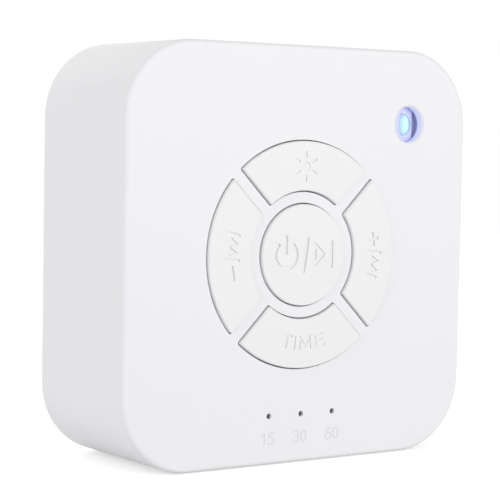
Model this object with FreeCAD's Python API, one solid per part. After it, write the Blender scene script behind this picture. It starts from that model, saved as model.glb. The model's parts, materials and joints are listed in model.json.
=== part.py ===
import FreeCAD, Part
from FreeCAD import Vector

import math
import os

# White noise sound machine, in millimetres, +Z up. The front face looks along -Y.
# The machine stands on z = 0, and depths are measured from the front face towards the back.

# Casing
BODY_WIDTH = 90.0
BODY_HEIGHT = 90.0
BODY_DEPTH = 35.0
BODY_CORNER_RADIUS = 16.2
FRONT_EDGE_RADIUS = 0.9
REAR_EDGE_RADIUS = 0.9
SIDE_WALL = 2.2
FRONT_WALL = 2.4
INNER_EDGE_RADIUS = 1.2

# Rear cover, let into the back of the casing
COVER_THICKNESS = 2.2
COVER_SEAT_WIDTH = 1.1
COVER_CLEARANCE = 0.12
COVER_EDGE_RADIUS = 0.4

# Keys: a round one in the middle and four ring sectors
KEY_GROUP_X = -0.55
CENTRE_OPENING_RADIUS = 11.25
SECTOR_INNER_RADIUS = 13.55
SECTOR_OUTER_RADIUS = 24.8
SECTOR_CORNER_RADIUS = 0.55
WEB_WIDTH = 2.5
KEY_GAP = 0.3
KEY_RAISE = 0.75
KEY_TRAVEL = 0.3
KEY_SHELL = 1.5
KEY_TOP = 1.6
KEY_EDGE_RADIUS = 0.3
KEY_REST_GAP = 0.1
FLANGE_WIDTH = 0.8
FLANGE_THICKNESS = 1.2
POST_RADIUS = 2.5
GUIDE_RIB_WIDTH = 2.0
GUIDE_RIB_CLEARANCE = 0.25

# Push switches
SWITCH_SIDE = 6.0
SWITCH_HEIGHT = 3.5
PLUNGER_RADIUS = 1.75
PLUNGER_PROUD = 1.4
PLUNGER_CLEARANCE = 0.08
PLUNGER_POCKET = 1.6
POST_GAP = 0.05

# Main board
BOARD_THICKNESS = 1.6
BOARD_EDGE_GAP = 3.8
BOARD_NOTCH_CLEARANCE = 0.8
BOARD_STANDOFF_HEIGHT = 7.6
BOARD_STANDOFF_RADIUS = 2.6
BOARD_STANDOFF_INSET_X = 9.5
BOARD_STANDOFF_HALF_Z = 15.0
BOARD_SCREW_SHANK_RADIUS = 1.0
BOARD_SCREW_LENGTH = 5.5
BOARD_SCREW_HEAD_RADIUS = 2.1
BOARD_SCREW_HEAD_HEIGHT = 1.3
SCREW_HOLE_CLEARANCE = 0.2
THREAD_CLEARANCE = 0.03
PILOT_EXTRA = 1.0

# Light window
WINDOW_INSET = 16.4
WINDOW_RADIUS = 4.0
WINDOW_CHAMFER = 0.4
LENS_FLANGE_WIDTH = 0.9
LENS_FLANGE_THICKNESS = 1.8
LENS_POCKET_RADIUS = 2.45
LENS_POCKET_DEPTH = 1.0
LENS_POCKET_WALL = 0.2
LENS_STEM_RADIUS = 2.4
LIGHT_SHIELD_RECESS = 0.5
LIGHT_SHIELD_MARGIN = 0.1
LIGHT_GAP = 0.4
LIGHT_DIODE_SIDE = 5.0
LIGHT_DIODE_HEIGHT = 1.4

# Timer lights
TIMER_HOLE_RADIUS = 0.62
TIMER_HOLE_SPACING = 8.5
TIMER_HOLE_HEIGHT = 10.45
TIMER_PIN_CLEARANCE = 0.07
TIMER_PIN_RECESS = 0.8
TIMER_LEG_RADIUS = 1.2
TIMER_BAR_HEIGHT = 4.0
TIMER_BAR_THICKNESS = 1.5
TIMER_BAR_MARGIN = 6.5
TIMER_STAKE_RADIUS = 0.9
TIMER_STAKE_MARGIN = 4.2
TIMER_STAKE_HEIGHT = 2.2
TIMER_DIODE_WIDTH = 1.6
TIMER_DIODE_HEIGHT = 0.6

# Casing screws and rear feet
CASE_SCREW_INSET = 10.0
CASE_BOSS_RADIUS = 3.2
CASE_BOSS_RIB = 1.6
CASE_SCREW_SHANK_RADIUS = 1.25
CASE_SCREW_LENGTH = 10.0
CASE_SCREW_HEAD_RADIUS = 2.3
CASE_SCREW_HEAD_HEIGHT = 1.5
TURRET_RADIUS = 4.8
TURRET_HEIGHT = 3.0
FOOT_RADIUS = 4.0
FOOT_RECESS = 0.8
FOOT_PROUD = 0.75
FOOT_CLEARANCE = 0.1
FOOT_PLUG_LENGTH = 0.9
HEAD_POCKET_CLEARANCE = 0.3
HEAD_POCKET_DEPTH = 2.6

# Speaker, firing backwards through the rear cover
SPEAKER_ABOVE_MIDDLE = 6.0
SPEAKER_RADIUS = 20.0
SPEAKER_FLANGE_THICKNESS = 1.0
SPEAKER_FLANGE_WIDTH = 2.4
SPEAKER_BOARD_GAP = 3.1
BASKET_DEPTH = 9.0
BASKET_FLOOR_RADIUS = 12.5
BASKET_WALL = 0.9
BASKET_WINDOW_WIDTH = 9.0
FRONT_PLATE_THICKNESS = 2.0
FRONT_PLATE_RADIUS = 11.5
MAGNET_RADIUS = 12.5
MAGNET_BORE_RADIUS = 8.2
YOKE_RADIUS = 11.5
YOKE_THICKNESS = 1.8
POLE_RADIUS = 6.0
COIL_GAP = 0.25
COIL_THICKNESS = 0.45
COIL_BACK_ROOM = 2.6
CONE_THICKNESS = 0.35
CONE_RADIUS = 14.6
CONE_DEPTH = 4.4
CONE_RIM_DEPTH = 1.1
DUST_CAP_HEIGHT = 2.0
SURROUND_THICKNESS = 0.3
SURROUND_ROLL_HEIGHT = 0.9
SPIDER_THICKNESS = 0.3
SPIDER_DEPTH = 7.4
SPIDER_RISE = 0.6
GASKET_THICKNESS = 1.0
GASKET_WIDTH = 1.8
CLOTH_THICKNESS = 0.3
SPEAKER_SCREW_OFFSET = 1.9
SPEAKER_BOSS_RADIUS = 1.75
SPEAKER_SCREW_SHANK_RADIUS = 0.8
SPEAKER_SCREW_HEAD_RADIUS = 2.6
SPEAKER_SCREW_HEAD_HEIGHT = 1.1
SPEAKER_SCREW_LENGTH = 3.0
TERMINAL_LENGTH = 5.0
TERMINAL_WIDTH = 8.0
TERMINAL_THICKNESS = 0.8
TERMINAL_CLEARANCE = 0.2

# Grille: rings of round holes in the rear cover
GRILLE_HOLE_RADIUS = 0.9
GRILLE_PITCH = 3.1
GRILLE_RING_COUNT = 5

# Battery
BATTERY_WIDTH = 50.0
BATTERY_HEIGHT = 24.0
BATTERY_THICKNESS = 10.0
BATTERY_EDGE_RADIUS = 2.0
BATTERY_FLOOR_GAP = 2.3
BATTERY_PAD_THICKNESS = 0.8
BATTERY_PAD_MARGIN = 3.0
PROTECTION_BOARD_THICKNESS = 1.2
PROTECTION_BOARD_HEIGHT = 18.0
PROTECTION_BOARD_WIDTH = 4.0

# Leads and their connectors
WIRE_RADIUS = 0.4
WIRE_SPACING = 2.0
WIRE_REACH = 5.5
WIRE_BEND_SHARE = 0.45
CONNECTOR_LENGTH = 5.9
CONNECTOR_WIDTH = 4.5
CONNECTOR_HEIGHT = 5.8

# Charging socket, in the right side wall
PORT_WIDTH = 8.94
PORT_THICKNESS = 3.26
PORT_SHELL = 0.3
PORT_LENGTH = 7.3
PORT_RECESS = 0.8
PORT_CLEARANCE = 0.3
PORT_TONGUE_WIDTH = 6.7
PORT_TONGUE_THICKNESS = 0.7
PORT_TONGUE_LENGTH = 5.0
PORT_BACK_THICKNESS = 1.0

# Chips on the back of the main board: width, height, thickness
PROCESSOR_SIZE = (7.0, 7.0, 0.9)
MEMORY_SIZE = (5.2, 5.3, 1.6)
AMPLIFIER_SIZE = (5.0, 4.0, 1.5)
CHARGER_SIZE = (3.0, 3.0, 0.9)
CAPACITOR_RADIUS = 2.5
CAPACITOR_LENGTH = 5.4
CAPACITOR_SPACING = 7.0

# Places worked out from the sizes above
FRONT_Y = KEY_RAISE - (BODY_DEPTH + KEY_RAISE + FOOT_PROUD) / 2
MIDDLE_Z = BODY_HEIGHT / 2
HALF_WIDTH = BODY_WIDTH / 2
INNER_HALF_WIDTH = HALF_WIDTH - SIDE_WALL
INNER_RADIUS = BODY_CORNER_RADIUS - SIDE_WALL
COVER_INNER = BODY_DEPTH - COVER_THICKNESS
KEY_RING_RADIUS = (SECTOR_INNER_RADIUS + SECTOR_OUTER_RADIUS) / 2
FLANGE_START = FRONT_WALL + KEY_REST_GAP
FLANGE_END = FLANGE_START + FLANGE_THICKNESS
BOARD_FRONT = FRONT_WALL + BOARD_STANDOFF_HEIGHT
BOARD_BACK = BOARD_FRONT + BOARD_THICKNESS
BOARD_HALF_WIDTH = INNER_HALF_WIDTH - BOARD_EDGE_GAP
BOARD_HALF_HEIGHT = MIDDLE_Z - SIDE_WALL - BOARD_EDGE_GAP
SWITCH_FRONT = BOARD_FRONT - SWITCH_HEIGHT
PLUNGER_FRONT = SWITCH_FRONT - PLUNGER_PROUD
POST_END = PLUNGER_FRONT - POST_GAP
CASE_SCREW_X = HALF_WIDTH - CASE_SCREW_INSET
CASE_SCREW_Z = MIDDLE_Z - CASE_SCREW_INSET
CASE_BOSS_END = COVER_INNER - TURRET_HEIGHT
HEAD_POCKET_FLOOR = BODY_DEPTH - FOOT_RECESS - HEAD_POCKET_DEPTH
HEAD_POCKET_RADIUS = CASE_SCREW_HEAD_RADIUS + HEAD_POCKET_CLEARANCE
STANDOFF_X = HALF_WIDTH - BOARD_STANDOFF_INSET_X
WINDOW_X = HALF_WIDTH - WINDOW_INSET
WINDOW_Z = BODY_HEIGHT - WINDOW_INSET
LENS_FLANGE_RADIUS = WINDOW_RADIUS + LENS_FLANGE_WIDTH
LENS_FLANGE_END = FRONT_WALL + LENS_FLANGE_THICKNESS
LENS_FLAT = LENS_POCKET_RADIUS + LENS_POCKET_WALL
LIGHT_DIODE_FRONT = BOARD_FRONT - LIGHT_DIODE_HEIGHT
TIMER_DIODE_FRONT = BOARD_FRONT - TIMER_DIODE_HEIGHT
TIMER_STAKE_X = TIMER_HOLE_SPACING + TIMER_STAKE_MARGIN
SPEAKER_Z = MIDDLE_Z + SPEAKER_ABOVE_MIDDLE
SPEAKER_FACE = COVER_INNER - CLOTH_THICKNESS - GASKET_THICKNESS
SPEAKER_FLANGE_BACK = SPEAKER_FACE - SPEAKER_FLANGE_THICKNESS
SPEAKER_FLANGE_INNER_RADIUS = SPEAKER_RADIUS - SPEAKER_FLANGE_WIDTH
SPEAKER_SCREW_RADIUS = SPEAKER_RADIUS + SPEAKER_SCREW_OFFSET
SPEAKER_BACK = SPEAKER_FACE - BOARD_BACK - SPEAKER_BOARD_GAP
MAGNET_START = BASKET_DEPTH + FRONT_PLATE_THICKNESS
MAGNET_END = SPEAKER_BACK - YOKE_THICKNESS
COIL_INNER_RADIUS = POLE_RADIUS + COIL_GAP
COIL_OUTER_RADIUS = COIL_INNER_RADIUS + COIL_THICKNESS
BASKET_FLOOR_DEPTH = BASKET_DEPTH - BASKET_WALL
BATTERY_BACK = COVER_INNER - BATTERY_PAD_THICKNESS
BATTERY_FRONT = BATTERY_BACK - BATTERY_THICKNESS
BATTERY_Z = SIDE_WALL + BATTERY_FLOOR_GAP + BATTERY_HEIGHT / 2
PORT_DEPTH = BOARD_BACK + PORT_THICKNESS / 2
PORT_OUTER_X = HALF_WIDTH - PORT_RECESS
PORT_INNER_X = PORT_OUTER_X - PORT_LENGTH
CONNECTOR_END = BOARD_BACK + CONNECTOR_HEIGHT
TERMINAL_X = -(SPEAKER_FLANGE_INNER_RADIUS + BASKET_WALL + TERMINAL_CLEARANCE + TERMINAL_LENGTH / 2)
CORNERS = [(sx, sz) for sx in (-1, 1) for sz in (-1, 1)]

# Keys by name, with the degrees that a sector is turned from the top
KEYS = {"power": None, "light": 0, "next": 90, "timer": 180, "previous": 270}
SECTOR_TURNS = [turn for turn in KEYS.values() if turn is not None]


def y_at(depth):
    """Y of a plane this far behind the front face."""
    return FRONT_Y + depth


def block(size_x, size_z, start, end, x, z):
    """Box between two depths, centred on x and z."""
    corner = Vector(x - size_x / 2, y_at(start), z - size_z / 2)
    return Part.makeBox(size_x, end - start, size_z, corner)


def rod(radius, start, end, x, z):
    """Cylinder along Y between two depths."""
    return Part.makeCylinder(radius, end - start, Vector(x, y_at(start), z), Vector(0, 1, 0))


def taper(start_radius, end_radius, start, end, x, z):
    """Cone along Y between two depths."""
    base = Vector(x, y_at(start), z)
    return Part.makeCone(start_radius, end_radius, end - start, base, Vector(0, 1, 0))


def edges_along_y(shape):
    """Straight edges that run from front to back."""
    lines = [e for e in shape.Edges if isinstance(e.Curve, Part.Line)]
    return [e for e in lines if abs(e.tangentAt(e.FirstParameter).y) > 0.999]


def edges_at(shape, depth):
    """Edges that lie wholly in the plane at a depth."""
    level = y_at(depth)

    def flat(edge):
        return max(abs(edge.BoundBox.YMin - level), abs(edge.BoundBox.YMax - level)) < 0.001

    return [edge for edge in shape.Edges if flat(edge)]


def rounded_block(size_x, size_z, radius, start, end, x=0.0, z=MIDDLE_Z):
    """Box with its four front-to-back edges rounded."""
    shape = block(size_x, size_z, start, end, x, z)
    return shape.makeFillet(radius, edges_along_y(shape))


def joined(shapes):
    """One shape from pieces that overlap."""
    return shapes[0].multiFuse(shapes[1:]).removeSplitter()


def sector(offset, start, end, turn):
    """Ring sector grown by an offset from the opening in the front wall, its middle turned from the top."""
    outer = SECTOR_OUTER_RADIUS + offset
    inner = SECTOR_INNER_RADIUS - offset
    side = WEB_WIDTH / 2 - offset
    root_half = math.sqrt(0.5)

    def corner(radius, hand):
        along = math.sqrt(radius ** 2 - side ** 2)
        return Vector(hand * (along - side) * root_half, y_at(start), (along + side) * root_half)

    arc_out = Part.Arc(corner(outer, -1), Vector(0, y_at(start), outer), corner(outer, 1))
    arc_in = Part.Arc(corner(inner, 1), Vector(0, y_at(start), inner), corner(inner, -1))
    right = Part.LineSegment(corner(outer, 1), corner(inner, 1))
    left = Part.LineSegment(corner(inner, -1), corner(outer, -1))
    outline = Part.Wire([curve.toShape() for curve in (arc_out, right, arc_in, left)])
    solid = Part.Face(outline).extrude(Vector(0, end - start, 0))
    corner_radius = max(SECTOR_CORNER_RADIUS + offset, SECTOR_CORNER_RADIUS / 3)
    solid = solid.makeFillet(corner_radius, edges_along_y(solid))
    solid.translate(Vector(KEY_GROUP_X, 0, MIDDLE_Z))
    solid.rotate(Vector(KEY_GROUP_X, 0, MIDDLE_Z), Vector(0, 1, 0), turn)
    return solid


def centre_disc(offset, start, end):
    """Round plug grown by an offset from the middle opening."""
    return rod(CENTRE_OPENING_RADIUS + offset, start, end, KEY_GROUP_X, MIDDLE_Z)


def key_plan(turn):
    """The outline function of one key: the round one has no turn."""
    if turn is None:
        return centre_disc
    return lambda offset, start, end: sector(offset, start, end, turn)


def key_place(turn):
    """x and z of the switch under one key."""
    if turn is None:
        return KEY_GROUP_X, MIDDLE_Z
    angle = math.radians(turn)
    x = KEY_GROUP_X + KEY_RING_RADIUS * math.sin(angle)
    return x, MIDDLE_Z + KEY_RING_RADIUS * math.cos(angle)


def spun(outline, z=SPEAKER_Z):
    """Solid turned about the speaker's axis, from corners as (radius, depth behind the speaker's face)."""
    points = [Vector(r, y_at(SPEAKER_FACE - s), z) for r, s in outline]
    face = Part.Face(Part.makePolygon(points + points[:1]))
    return face.revolve(Vector(0, 0, z), Vector(0, 1, 0), 360)


def guide_rib(clearance, start, end):
    """Upright rib beside the round key that keeps its symbols level."""
    width = GUIDE_RIB_WIDTH + 2 * clearance
    inner = CENTRE_OPENING_RADIUS + FLANGE_WIDTH / 2 - clearance
    height = (CENTRE_OPENING_RADIUS + SECTOR_INNER_RADIUS) / 2 + clearance - inner
    return block(width, height, start, end, KEY_GROUP_X, MIDDLE_Z - inner - height / 2)


def casing_tub():
    """Hollow outer form, open at the back with a seat for the rear cover."""
    outer = rounded_block(BODY_WIDTH, BODY_HEIGHT, BODY_CORNER_RADIUS, 0, BODY_DEPTH)
    outer = outer.makeFillet(FRONT_EDGE_RADIUS, edges_at(outer, 0))
    outer = outer.makeFillet(REAR_EDGE_RADIUS, edges_at(outer, BODY_DEPTH))
    inner_size = [BODY_WIDTH - 2 * SIDE_WALL, BODY_HEIGHT - 2 * SIDE_WALL]
    cavity = rounded_block(*inner_size, INNER_RADIUS, FRONT_WALL, BODY_DEPTH)
    cavity = cavity.makeFillet(INNER_EDGE_RADIUS, edges_at(cavity, FRONT_WALL))
    seat_growth = 2 * (SIDE_WALL - COVER_SEAT_WIDTH)
    seat_radius = BODY_CORNER_RADIUS - COVER_SEAT_WIDTH
    seat = rounded_block(
        inner_size[0] + seat_growth, inner_size[1] + seat_growth, seat_radius, COVER_INNER, BODY_DEPTH
    )
    return outer.cut(cavity).cut(seat)


def case_boss(sx, sz):
    """Screw boss in one corner with its rib to the corner of the tub."""
    x, z = sx * CASE_SCREW_X, MIDDLE_Z + sz * CASE_SCREW_Z
    boss = rod(CASE_BOSS_RADIUS, FRONT_WALL / 2, CASE_BOSS_END, x, z)
    from_corner = (BODY_CORNER_RADIUS - CASE_SCREW_INSET) * math.sqrt(2)
    reach = INNER_RADIUS - from_corner + SIDE_WALL / 2
    rib = block(reach, CASE_BOSS_RIB, FRONT_WALL / 2, CASE_BOSS_END, x + reach / 2, z)
    rib.rotate(Vector(x, 0, z), Vector(0, -1, 0), math.degrees(math.atan2(sz, sx)))
    return boss.fuse(rib)


def case_pilot(sx, sz):
    """Screw hole of one corner boss."""
    start = HEAD_POCKET_FLOOR - CASE_SCREW_LENGTH - PILOT_EXTRA
    radius = CASE_SCREW_SHANK_RADIUS + THREAD_CLEARANCE
    return rod(radius, start, CASE_BOSS_END, sx * CASE_SCREW_X, MIDDLE_Z + sz * CASE_SCREW_Z)


def standoff(sx, sz):
    """Post that carries the main board."""
    z = MIDDLE_Z + sz * BOARD_STANDOFF_HALF_Z
    return rod(BOARD_STANDOFF_RADIUS, FRONT_WALL / 2, BOARD_FRONT, sx * STANDOFF_X, z)


def standoff_pilot(sx, sz):
    """Screw hole of one board post."""
    start = max(FRONT_WALL, BOARD_BACK - BOARD_SCREW_LENGTH - PILOT_EXTRA)
    radius = BOARD_SCREW_SHANK_RADIUS + THREAD_CLEARANCE
    return rod(radius, start, BOARD_FRONT, sx * STANDOFF_X, MIDDLE_Z + sz * BOARD_STANDOFF_HALF_Z)


def window_hole():
    """Stepped round hole of the light window."""
    hole = rod(WINDOW_RADIUS, 0, FRONT_WALL, WINDOW_X, WINDOW_Z)
    mouth = taper(WINDOW_RADIUS + WINDOW_CHAMFER, WINDOW_RADIUS, 0, WINDOW_CHAMFER, WINDOW_X, WINDOW_Z)
    return hole.fuse(mouth)


def port_prism(growth, inner_x, outer_x):
    """Flat bar with round ends along X, the form of the charging socket."""
    width = PORT_WIDTH + 2 * growth
    thickness = PORT_THICKNESS + 2 * growth
    corner = Vector(inner_x, y_at(PORT_DEPTH) - thickness / 2, MIDDLE_Z - width / 2)
    bar = Part.makeBox(outer_x - inner_x, thickness, width, corner)
    along_x = [e for e in bar.Edges if abs(e.tangentAt(e.FirstParameter).x) > 0.999]
    return bar.makeFillet(thickness * 0.49, along_x)


def timer_places():
    """x of the three timer lights."""
    return [step * TIMER_HOLE_SPACING for step in (-1, 0, 1)]


def front_housing():
    """Tub with the front face, every opening in it, and the posts that grow from its inside."""
    added = [casing_tub()]
    added += [case_boss(sx, sz) for sx, sz in CORNERS]
    added += [standoff(sx, sz) for sx, sz in CORNERS]
    stake_end = FRONT_WALL + TIMER_STAKE_HEIGHT
    added += [
        rod(TIMER_STAKE_RADIUS, FRONT_WALL / 2, stake_end, hand * TIMER_STAKE_X, TIMER_HOLE_HEIGHT)
        for hand in (-1, 1)
    ]
    added.append(guide_rib(0, FRONT_WALL / 2, FLANGE_END + KEY_TRAVEL))
    removed = [case_pilot(sx, sz) for sx, sz in CORNERS]
    removed += [standoff_pilot(sx, sz) for sx, sz in CORNERS]
    removed += [sector(0, 0, FRONT_WALL, turn) for turn in SECTOR_TURNS]
    removed.append(centre_disc(0, 0, FRONT_WALL))
    removed.append(window_hole())
    removed += [rod(TIMER_HOLE_RADIUS, 0, FRONT_WALL, x, TIMER_HOLE_HEIGHT) for x in timer_places()]
    removed.append(port_prism(PORT_CLEARANCE, INNER_HALF_WIDTH, HALF_WIDTH))
    return joined(added).cut(removed)


def key(turn):
    """Key cap: shell, flange behind the front wall and the post that pushes the switch."""
    plan = key_plan(turn)
    front = -KEY_RAISE
    cap = plan(-KEY_GAP, front, FLANGE_START)
    cap = cap.makeFillet(KEY_EDGE_RADIUS, edges_at(cap, front))
    flange = plan(FLANGE_WIDTH, FLANGE_START, FLANGE_END)
    hollow = plan(-KEY_GAP - KEY_SHELL, front + KEY_TOP, FLANGE_END)
    x, z = key_place(turn)
    post = rod(POST_RADIUS, front + KEY_TOP / 2, POST_END, x, z)
    shape = joined([cap.fuse(flange).cut(hollow), post])
    if turn is None:
        shape = shape.cut(guide_rib(GUIDE_RIB_CLEARANCE, FLANGE_START, FLANGE_END))
    return shape


def switch_plunger(turn):
    """Round button of one push switch."""
    x, z = key_place(turn)
    end = SWITCH_FRONT + PLUNGER_POCKET - KEY_TRAVEL - POST_GAP
    return rod(PLUNGER_RADIUS, PLUNGER_FRONT, end, x, z)


def switch_body(turn):
    """Body of one push switch on the main board, with the bore its plunger runs in."""
    x, z = key_place(turn)
    body = block(SWITCH_SIDE, SWITCH_SIDE, SWITCH_FRONT, BOARD_FRONT, x, z)
    bore = rod(PLUNGER_RADIUS + PLUNGER_CLEARANCE, SWITCH_FRONT, SWITCH_FRONT + PLUNGER_POCKET, x, z)
    return body.cut(bore)


def main_board():
    """Circuit board, notched round the casing screws."""
    board = block(2 * BOARD_HALF_WIDTH, 2 * BOARD_HALF_HEIGHT, BOARD_FRONT, BOARD_BACK, 0, MIDDLE_Z)
    notch = CASE_BOSS_RADIUS + BOARD_NOTCH_CLEARANCE
    outer = CASE_SCREW_INSET
    hole_radius = BOARD_SCREW_SHANK_RADIUS + SCREW_HOLE_CLEARANCE
    cuts = []
    for sx, sz in CORNERS:
        x, z = sx * CASE_SCREW_X, MIDDLE_Z + sz * CASE_SCREW_Z
        near, far = (outer - notch) / 2, outer / 2
        cuts.append(rod(notch, BOARD_FRONT, BOARD_BACK, x, z))
        upright = block(outer, outer + notch, BOARD_FRONT, BOARD_BACK, x + sx * far, z + sz * near)
        level = block(outer + notch, outer, BOARD_FRONT, BOARD_BACK, x + sx * near, z + sz * far)
        cuts += [upright, level]
        hole_z = MIDDLE_Z + sz * BOARD_STANDOFF_HALF_Z
        cuts.append(rod(hole_radius, BOARD_FRONT, BOARD_BACK, sx * STANDOFF_X, hole_z))
    return board.cut(cuts)


def board_screws():
    """Four screws that hold the main board on its posts."""
    screws = []
    for sx, sz in CORNERS:
        x, z = sx * STANDOFF_X, MIDDLE_Z + sz * BOARD_STANDOFF_HALF_Z
        shank = rod(BOARD_SCREW_SHANK_RADIUS, BOARD_BACK - BOARD_SCREW_LENGTH, BOARD_BACK, x, z)
        head = rod(BOARD_SCREW_HEAD_RADIUS, BOARD_BACK, BOARD_BACK + BOARD_SCREW_HEAD_HEIGHT, x, z)
        screws.append(shank.fuse(head))
    return Part.makeCompound(screws)


def lens_side():
    """Room beside the flat of the lens, on the right."""
    width = 2 * LENS_FLANGE_RADIUS
    return block(width, width, FRONT_WALL, LENS_FLANGE_END, WINDOW_X + LENS_FLAT + width / 2, WINDOW_Z)


def light_lens():
    """Clear window piece behind the front wall: a disc with a flat, a pocket and a stem to the diode."""
    flange = rod(LENS_FLANGE_RADIUS, FRONT_WALL, LENS_FLANGE_END, WINDOW_X, WINDOW_Z).cut(lens_side())
    pocket = rod(LENS_POCKET_RADIUS, FRONT_WALL, FRONT_WALL + LENS_POCKET_DEPTH, WINDOW_X, WINDOW_Z)
    stem = rod(LENS_STEM_RADIUS, LENS_FLANGE_END, LIGHT_DIODE_FRONT - LIGHT_GAP, WINDOW_X, WINDOW_Z)
    return joined([flange, stem]).cut(pocket)


def light_shield():
    """Soft seal beside the flat of the lens, set back where the window shows it."""
    whole = rod(LENS_FLANGE_RADIUS, FRONT_WALL, LENS_FLANGE_END, WINDOW_X, WINDOW_Z)
    shown_end = FRONT_WALL + LIGHT_SHIELD_RECESS
    shown = rod(WINDOW_RADIUS + LIGHT_SHIELD_MARGIN, FRONT_WALL, shown_end, WINDOW_X, WINDOW_Z)
    return whole.common(lens_side()).cut(shown)


def light_diode():
    """Square diode under the light window."""
    return block(LIGHT_DIODE_SIDE, LIGHT_DIODE_SIDE, LIGHT_DIODE_FRONT, BOARD_FRONT, WINDOW_X, WINDOW_Z)


def timer_light_guide():
    """Clear bar with three pins into the front wall and three legs towards the diodes."""
    bar_end = FRONT_WALL + TIMER_BAR_THICKNESS
    width = 2 * (TIMER_HOLE_SPACING + TIMER_BAR_MARGIN)
    parts = [block(width, TIMER_BAR_HEIGHT, FRONT_WALL, bar_end, 0, TIMER_HOLE_HEIGHT)]
    pin_radius = TIMER_HOLE_RADIUS - TIMER_PIN_CLEARANCE
    for x in timer_places():
        parts.append(rod(pin_radius, TIMER_PIN_RECESS, FRONT_WALL, x, TIMER_HOLE_HEIGHT))
        parts.append(rod(TIMER_LEG_RADIUS, bar_end, TIMER_DIODE_FRONT - LIGHT_GAP, x, TIMER_HOLE_HEIGHT))
    stake_hole = TIMER_STAKE_RADIUS + THREAD_CLEARANCE
    stakes = [hand * TIMER_STAKE_X for hand in (-1, 1)]
    return joined(parts).cut([rod(stake_hole, FRONT_WALL, bar_end, x, TIMER_HOLE_HEIGHT) for x in stakes])


def timer_diodes():
    """Three small diodes behind the timer holes."""
    return Part.makeCompound([
        block(TIMER_DIODE_WIDTH, TIMER_DIODE_WIDTH / 2, TIMER_DIODE_FRONT, BOARD_FRONT, x, TIMER_HOLE_HEIGHT)
        for x in timer_places()
    ])


def speaker_screw_places():
    """x and z of the four speaker screws."""
    reach = SPEAKER_SCREW_RADIUS * math.sqrt(0.5)
    return [(sx * reach, SPEAKER_Z + sz * reach) for sx, sz in CORNERS]


def grille_holes():
    """Rings of round holes in front of the speaker cone."""
    holes = [rod(GRILLE_HOLE_RADIUS, COVER_INNER, BODY_DEPTH, 0, SPEAKER_Z)]
    for ring in range(1, GRILLE_RING_COUNT + 1):
        count = 6 * ring
        for step in range(count):
            angle = 2 * math.pi * step / count
            x = ring * GRILLE_PITCH * math.cos(angle)
            z = SPEAKER_Z + ring * GRILLE_PITCH * math.sin(angle)
            holes.append(rod(GRILLE_HOLE_RADIUS, COVER_INNER, BODY_DEPTH, x, z))
    return holes


def rear_cover():
    """Plate let into the back, with screw turrets, speaker bosses and grille."""
    lost = 2 * (COVER_SEAT_WIDTH + COVER_CLEARANCE)
    radius = BODY_CORNER_RADIUS - COVER_SEAT_WIDTH - COVER_CLEARANCE
    plate = rounded_block(BODY_WIDTH - lost, BODY_HEIGHT - lost, radius, COVER_INNER, BODY_DEPTH)
    plate = plate.makeFillet(COVER_EDGE_RADIUS, edges_at(plate, BODY_DEPTH))
    added, removed = [plate], grille_holes()
    for sx, sz in CORNERS:
        x, z = sx * CASE_SCREW_X, MIDDLE_Z + sz * CASE_SCREW_Z
        added.append(rod(TURRET_RADIUS, CASE_BOSS_END, BODY_DEPTH - COVER_THICKNESS / 2, x, z))
        removed.append(rod(FOOT_RADIUS + FOOT_CLEARANCE, BODY_DEPTH - FOOT_RECESS, BODY_DEPTH, x, z))
        removed.append(rod(HEAD_POCKET_RADIUS, HEAD_POCKET_FLOOR, BODY_DEPTH, x, z))
        hole_radius = CASE_SCREW_SHANK_RADIUS + SCREW_HOLE_CLEARANCE
        removed.append(rod(hole_radius, CASE_BOSS_END, BODY_DEPTH, x, z))
    for x, z in speaker_screw_places():
        added.append(rod(SPEAKER_BOSS_RADIUS, SPEAKER_FLANGE_BACK, BODY_DEPTH - COVER_THICKNESS / 2, x, z))
        pilot_radius = SPEAKER_SCREW_SHANK_RADIUS + THREAD_CLEARANCE
        pilot_end = SPEAKER_FLANGE_BACK + SPEAKER_SCREW_LENGTH
        removed.append(rod(pilot_radius, SPEAKER_FLANGE_BACK, pilot_end, x, z))
    return joined(added).cut(removed)


def cover_screws():
    """Four screws that hold the rear cover."""
    screws = []
    for sx, sz in CORNERS:
        x, z = sx * CASE_SCREW_X, MIDDLE_Z + sz * CASE_SCREW_Z
        head_end = HEAD_POCKET_FLOOR + CASE_SCREW_HEAD_HEIGHT
        head = rod(CASE_SCREW_HEAD_RADIUS, HEAD_POCKET_FLOOR, head_end, x, z)
        shank = rod(CASE_SCREW_SHANK_RADIUS, HEAD_POCKET_FLOOR - CASE_SCREW_LENGTH, HEAD_POCKET_FLOOR, x, z)
        screws.append(head.fuse(shank))
    return Part.makeCompound(screws)


def rear_feet():
    """Four rubber feet that plug the screw pockets."""
    feet = []
    floor = BODY_DEPTH - FOOT_RECESS
    for sx, sz in CORNERS:
        x, z = sx * CASE_SCREW_X, MIDDLE_Z + sz * CASE_SCREW_Z
        pad = rod(FOOT_RADIUS, floor, BODY_DEPTH + FOOT_PROUD, x, z)
        pad = pad.makeFillet(FOOT_PROUD / 2, edges_at(pad, BODY_DEPTH + FOOT_PROUD))
        plug = rod(HEAD_POCKET_RADIUS - FOOT_CLEARANCE, floor - FOOT_PLUG_LENGTH, floor, x, z)
        feet.append(pad.fuse(plug))
    return Part.makeCompound(feet)


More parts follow.
